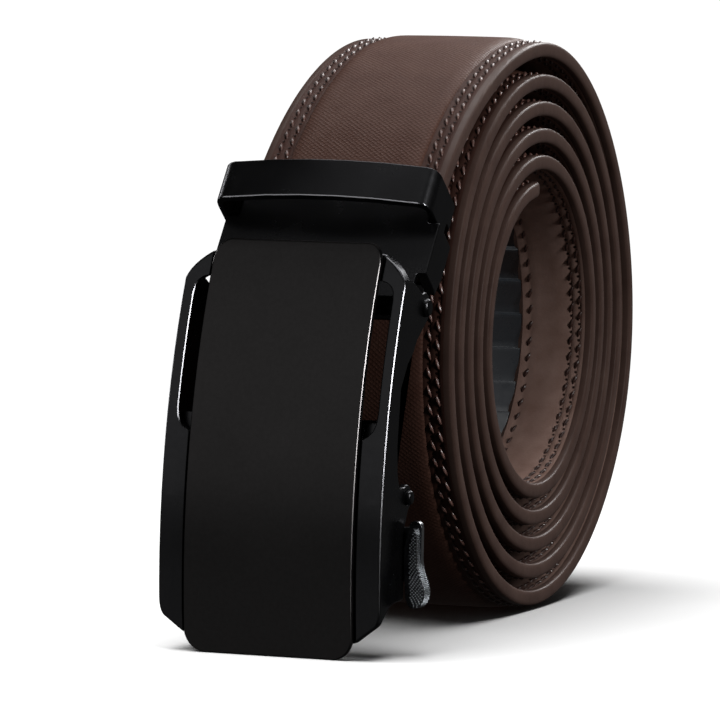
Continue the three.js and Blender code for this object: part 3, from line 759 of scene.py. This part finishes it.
def make_knurl(lever):
    """Small pyramids in diamond order on the front and the outer side of the thumb tab."""
    front = tab_front_level(lever)
    places = lever.data.vertices
    faces = [
        face for face in lever.data.polygons
        if face.normal.y < -0.9 and all(on_tab_front(places[i].co, front) for i in face.vertices)]
    widest = max(faces, key=lambda face: face.area)
    outline = [(places[i].co.x, places[i].co.z) for i in widest.vertices]
    spots = knurl_spots(outline, front, front + KNURL_DEEP * MM)
    pitch = KNURL_PITCH * MM
    deselect_all()
    bpy.ops.mesh.primitive_cone_add(
        vertices=4, radius1=pitch * 0.5, radius2=pitch * 0.08, depth=2 * KNURL_RELIEF * MM)
    knurl = named("tab_knurl")
    settle(knurl)
    size = len(knurl.data.vertices)
    apply_modifier(
        knurl, "ARRAY", count=len(spots), use_relative_offset=False, use_constant_offset=True,
        constant_offset_displace=(pitch, 0, 0))
    for number, vertex in enumerate(knurl.data.vertices):
        origin, across, upward, out = spots[number // size]
        a, b, c = vertex.co.x - (number // size) * pitch, vertex.co.y, vertex.co.z
        vertex.co = origin + across * a + upward * b + out * c
    edit(knurl)
    bpy.ops.mesh.select_all(action="SELECT")
    bpy.ops.mesh.normals_make_consistent(inside=False)
    done()
    return knurl


def make_pin(name, node, radius, head):
    """A riveted pin whose heads are domed."""
    lowest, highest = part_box(node)
    centre = (lowest + highest) / 2
    length = highest.x - lowest.x
    deselect_all()
    bpy.ops.mesh.primitive_cylinder_add(
        vertices=32, radius=head * MM, depth=length, location=centre, rotation=(0, math.pi / 2, 0))
    pin = named(name)
    settle(pin)
    reach = length / 2
    pick(pin, "FACE", lambda f: abs(f.normal.x) > 0.9)
    bpy.ops.mesh.inset(thickness=0.3 * radius * MM)
    done()
    for vertex in pin.data.vertices:
        aside = vertex.co.x - centre.x
        if abs(aside) > reach * 0.9:
            out = math.hypot(vertex.co.y - centre.y, vertex.co.z - centre.z) / MM
            if out > head * 0.95:
                vertex.co.x = centre.x + math.copysign(reach - 0.4 * MM, aside)
    pick(pin, "EDGE", lambda e: all(
        abs(pin.data.vertices[i].co.x - centre.x) > reach * 0.9 for i in e.vertices))
    bpy.ops.mesh.bevel(offset=0.12 * MM, segments=3)
    done()
    take(pin)
    bpy.ops.object.shade_smooth_by_angle(angle=math.radians(50))
    return pin


strap = finish_piece(make_strap(), "strap_body", None, ("strap",))
make_stitching()

finish_piece(
    from_node("ratchet_track", "toothed_strip", 0.12, 2, 20, 20), "strap_body", nylon,
    ("ratchet_track",))
finish_piece(from_node("clamp", "clamp_body", 0.3), "strap_body", black_metal, ("clamp",))
finish_piece(
    from_node("clamp_flap", "clamp_plate", 0.25), "strap_body", pin_steel, ("clamp_flap",))
finish_piece(
    from_node("keeper_loop", "keeper", 0.35, 3), "strap_body", black_metal,
    ("keeper_loop",))
finish_piece(
    from_node("buckle_frame", "frame_plate", 0.4, 3), "buckle", black_metal,
    ("buckle_frame",))
finish_piece(
    from_node("front_panel", "panel_plate", 0.3, 3), "buckle", panel_metal,
    ("front_panel",))
lever = round_tab(from_node("release_lever", "lever_plate", 0.02, 1))
finish_piece(lever, "lever", tab_steel, ("release_lever",))
finish_piece(make_knurl(lever), "lever", knurl_steel)
finish_piece(
    make_pin("hinge_rivet", "hinge_pin", 1.1, 1.6), "strap_body", black_metal,
    ("hinge_pin",))
finish_piece(
    make_pin("lever_rivet", "lever_pin", 0.9, 1.3), "buckle", black_metal,
    ("lever_pin",))

bpy.data.objects.remove(route)


# Floor, light and camera. The floor fades into the white background.

FLOOR_CLEAR = 0.3
FLOOR_GONE = 0.6

def make_floor():
    deselect_all()
    bpy.ops.mesh.primitive_plane_add(size=8, location=(0, 0, -0.00005))
    floor = named("floor")
    settle(floor)
    paper = material("white_paper", (0.88, 0.88, 0.88), 0.9, Specular_IOR_Level=0.0)
    n = Nodes(paper)
    reach = n.add("ShaderNodeVectorMath", {"operation": "LENGTH"}, Vector=n.place()).outputs["Value"]
    n.put(n.shader.inputs["Alpha"], n.spread(reach, FLOOR_CLEAR, FLOOR_GONE, 1.0, 0.0))
    floor.data.materials.append(paper)
    floor.visible_diffuse = False
    floor.visible_glossy = False
    floor.visible_shadow = False


def softbox(name, azimuth, elevation, distance, size, power, color=(1, 1, 1)):
    aim = Vector((0, 0, 0.05))
    a, e = math.radians(azimuth), math.radians(elevation)
    toward = Vector((math.sin(a) * math.cos(e), -math.cos(a) * math.cos(e), math.sin(e)))
    data = bpy.data.lights.new(name, "AREA")
    data.shape = "RECTANGLE"
    data.size, data.size_y = size
    data.energy = power
    data.color = color
    lamp = bpy.data.objects.new(name, data)
    bpy.context.collection.objects.link(lamp)
    lamp.location = aim + toward * distance
    lamp.rotation_mode = "QUATERNION"
    lamp.rotation_quaternion = (-toward).to_track_quat("-Z", "Y")
    return lamp


def spare(names, *lamps):
    """These lamps light everything but the named pieces."""
    spared = bpy.data.collections.new("spared_" + names[-1])
    for name in names:
        spared.objects.link(bpy.data.objects[name])
    for entry in spared.collection_objects:
        entry.light_linking.link_state = "EXCLUDE"
    for lamp in lamps:
        lamp.light_linking.receiver_collection = spared


def light_only(names, *lamps):
    """These lamps light the named pieces only."""
    lit = bpy.data.collections.new("lit_" + names[0])
    for name in names:
        lit.objects.link(bpy.data.objects[name])
    for lamp in lamps:
        lamp.light_linking.receiver_collection = lit


def make_sky():
    world = bpy.data.worlds.new("studio")
    bpy.context.scene.world = world
    world.use_nodes = True
    tree = world.node_tree
    fill = tree.nodes["Background"]
    fill.inputs["Color"].default_value = (1, 1, 1, 1)
    seen = tree.nodes.new("ShaderNodeLightPath")
    level = tree.nodes.new("ShaderNodeMapRange")
    level.inputs["To Min"].default_value = 0.03
    level.inputs["To Max"].default_value = 1.05
    tree.links.new(seen.outputs["Is Camera Ray"], level.inputs["Value"])
    tree.links.new(level.outputs[0], fill.inputs["Strength"])


def make_camera():
    data = bpy.data.cameras.new("camera")
    data.sensor_width = 36
    data.lens = 36 * 5618.29 / 721
    data.clip_start, data.clip_end = 0.05, 20
    camera = bpy.data.objects.new("camera", data)
    bpy.context.collection.objects.link(camera)
    azimuth, elevation, roll = 0.364852, 0.0703506, 0.0163258
    back = Vector((
        math.sin(azimuth) * math.cos(elevation), -math.cos(azimuth) * math.cos(elevation),
        math.sin(elevation)))
    level_right = Vector((math.cos(azimuth), math.sin(azimuth), 0))
    level_up = back.cross(level_right)
    right = level_right * math.cos(roll) + level_up * math.sin(roll)
    up = level_up * math.cos(roll) - level_right * math.sin(roll)
    camera.matrix_world = Matrix.Translation(Vector((348.870, -946.726, 116.785)) * MM) @ Matrix((
        right, up, back)).transposed().to_4x4()
    bpy.context.scene.camera = camera


make_floor()
make_sky()
make_camera()
spare(
    ["floor", "panel_plate"],
    softbox("overhead", 180, 72, 0.9, (0.8, 0.6), 10.4),
    softbox("rim", 172, 30, 1.0, (0.6, 0.3), 9.0))
spare(
    ["floor"],
    softbox("right_side", 70, 22, 0.9, (0.07, 0.46), 4.8),
    softbox("front_left", -22, 25, 1.3, (0.9, 1.1), 1.35),
    softbox("front_low", -22, -24, 1.3, (0.9, 0.9), 0.45),
    softbox("left_back", -112, 18, 1.0, (0.1, 0.6), 0.8),
    softbox("right_back", 158, -6, 1.2, (0.5, 0.8), 0.16),
    softbox("ceiling", 0, 78, 1.0, (0.8, 0.8), 0.5))
light_only(
    ["floor"],
    softbox("floor_wash", 0, 86, 1.2, (1.0, 1.0), 14.0),
    softbox("floor_front", -35, 70, 1.4, (1.4, 1.4), 22.0))
light_only(
    ["frame_plate", "panel_plate", "keeper", "clamp_body"],
    softbox("right_glint", 70, 18, 0.9, (0.06, 0.5), 12.0),
    softbox("left_glint", -112, 12, 0.9, (0.06, 0.5), 3.0))
light_only(["keeper", "clamp_body"], softbox("low_glint", -21, -18, 1.0, (1.0, 0.15), 6.0))
light_only(
    ["lever_plate", "tab_knurl"],
    softbox("tab_glint", -40, 15, 0.9, (0.1, 0.3), 3.0),
    softbox("tab_side", 75, 20, 0.9, (0.2, 0.4), 3.0))
light_only(["outer_stitching"], softbox("thread_glint", 70, 22, 0.9, (0.07, 0.3), 14.0))
crest_glint = softbox("crest_glint", 5, 62, 0.9, (0.5, 0.25), 5.0)
crest_glint.data.use_shadow = False
light_only(["toothed_strip"], crest_glint)
bpy.context.scene.view_settings.view_transform = "Standard"
bpy.context.scene.view_settings.look = "None"
